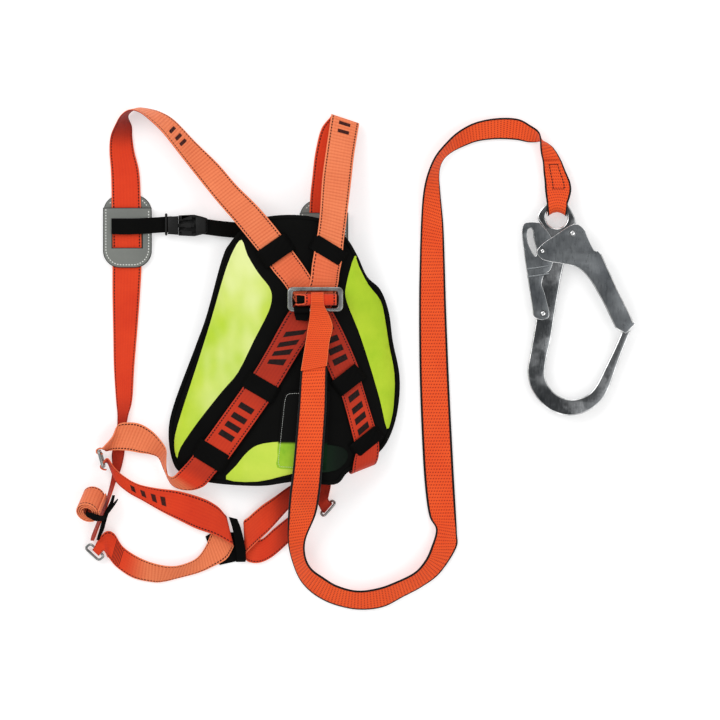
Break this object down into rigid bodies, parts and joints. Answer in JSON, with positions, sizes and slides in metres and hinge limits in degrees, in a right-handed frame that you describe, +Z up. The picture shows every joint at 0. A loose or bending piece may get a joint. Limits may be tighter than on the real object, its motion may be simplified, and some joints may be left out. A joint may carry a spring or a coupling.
{
  "type": "safety harness",
  "caption": "Full-body fall-arrest harness laid flat, with padded back, dorsal ring, chest and leg straps, and a webbing lanyard ending in a large scaffold hook",
  "frame": {"origin": "centre of the harness's footprint on the surface it lies on, without the lanyard and its hook", "axes": "+Z up out of the surface, back side of the harness up; +Y towards the shoulder straps; +X to the right as seen from above"},
  "size_m": [0.7775, 0.7032, 0.0863],
  "materials": {
    "webbing_orange": "ribbed woven polyester webbing",
    "webbing_lanyard": "heavy woven webbing with black edges",
    "webbing_black": "matt woven webbing",
    "pad_black": "matt polyester cloth over foam",
    "hi_vis_lime": "satin high-visibility cloth",
    "slider_grey": "stitched matt pad",
    "buckle_black": "moulded nylon",
    "steel": "zinc-plated steel",
    "hook_alloy": "plated, slightly worn"
  },
  "bodies": {
    "harness": {"back_pad": "pad_black", "pad_piping": "pad_black", "hi_vis_panel_left": "hi_vis_lime", "hi_vis_panel_right": "hi_vis_lime", "hi_vis_panel_lower": "hi_vis_lime", "label_pocket": "pad_black", "back_strap_left": "webbing_orange", "back_strap_right": "webbing_orange", "keeper_upper_left": "webbing_black", "keeper_upper_right": "webbing_black", "keeper_middle_left": "webbing_black", "keeper_middle_right": "webbing_black", "keeper_lower_left": "webbing_black", "keeper_lower_right": "webbing_black", "dorsal_webbing_loop": "webbing_orange", "ring_anchor_tab": "webbing_black", "shoulder_strap_left": "webbing_orange", "shoulder_strap_right": "webbing_orange", "waist_strap_left": "webbing_orange", "waist_strap_right": "webbing_orange", "leg_strap_left": "webbing_orange", "leg_strap_right": "webbing_orange", "leg_link_base": "webbing_black", "leg_link_band": "webbing_black", "hip_ring_left": "steel", "hip_ring_right": "steel", "leg_buckle_left": "steel", "leg_buckle_right": "steel", "surplus_roll_left": "webbing_orange", "surplus_roll_right": "webbing_orange", "roll_tie_left": "webbing_black", "roll_tie_tail_left": "webbing_black", "lanyard_webbing": "webbing_lanyard", "lanyard_eye_dorsal": "webbing_lanyard", "lanyard_eye_hook": "webbing_lanyard"},
    "dorsal_ring": {"dorsal_ring": "steel"},
    "chest_assembly": {"chest_slider_left_back": "slider_grey", "chest_slider_left_front": "slider_grey", "chest_slider_right_back": "slider_grey", "chest_slider_right_front": "slider_grey", "chest_strap_left": "webbing_black", "chest_strap_right": "webbing_black", "chest_buckle_socket": "buckle_black", "chest_buckle_plug": "buckle_black"},
    "strap_keeper": {"chest_strap_keeper": "buckle_black"},
    "buckle_arm_upper": {"chest_buckle_arm_upper": "buckle_black"},
    "buckle_arm_lower": {"chest_buckle_arm_lower": "buckle_black"},
    "hook": {"hook_frame": "hook_alloy", "gate_rivet": "steel", "lever_rivet": "steel", "gate_spring": "steel"},
    "gate": {"hook_gate": "hook_alloy", "gate_stud": "steel"},
    "lock_lever": {"hook_lock_lever": "hook_alloy"}
  },
  "joints": [
    {"name": "dorsal_ring_lift", "type": "hinge", "parent": "harness", "child": "dorsal_ring", "pos_m": [0.1075, 0.0485, 0.07], "axis": [1, 0, 0], "range_deg": [0, 70]},
    {"name": "chest_strap_height", "type": "slide", "parent": "harness", "child": "chest_assembly", "axis": [0, 1, 0], "range_m": [-0.025, 0.025]},
    {"name": "strap_keeper_slide", "type": "slide", "parent": "chest_assembly", "child": "strap_keeper", "axis": [1, 0, 0], "range_m": [-0.017, 0]},
    {"name": "buckle_press_upper", "type": "hinge", "parent": "chest_assembly", "child": "buckle_arm_upper", "pos_m": [-0.0842, 0.1745, 0.0099], "axis": [0, 0, -1], "range_deg": [0, 8], "stiffness_Nm_per_rad": 0.2},
    {"name": "buckle_press_lower", "type": "hinge", "parent": "chest_assembly", "child": "buckle_arm_lower", "pos_m": [-0.0842, 0.1595, 0.0099], "axis": [0, 0, 1], "range_deg": [0, 8], "stiffness_Nm_per_rad": 0.2},
    {"name": "hook_swing", "type": "hinge", "parent": "harness", "child": "hook", "pos_m": [0.444, 0.1975, 0.013], "axis": [-1, 0, 0], "range_deg": [0, 80]},
    {"name": "gate_open", "type": "hinge", "parent": "hook", "child": "gate", "pos_m": [0.466, 0.156, 0.013], "axis": [0, 0, -1], "range_deg": [0, 25], "stiffness_Nm_per_rad": 0.3},
    {"name": "lever_squeeze", "type": "hinge", "parent": "hook", "child": "lock_lever", "pos_m": [0.425, 0.044, 0.013], "axis": [0, 0, -1], "range_deg": [0, 4.5], "stiffness_Nm_per_rad": 0.5}
  ],
  "couplings": [
    {"joint": "buckle_press_lower", "follows": "buckle_press_upper", "ratio": 1}
  ]
}
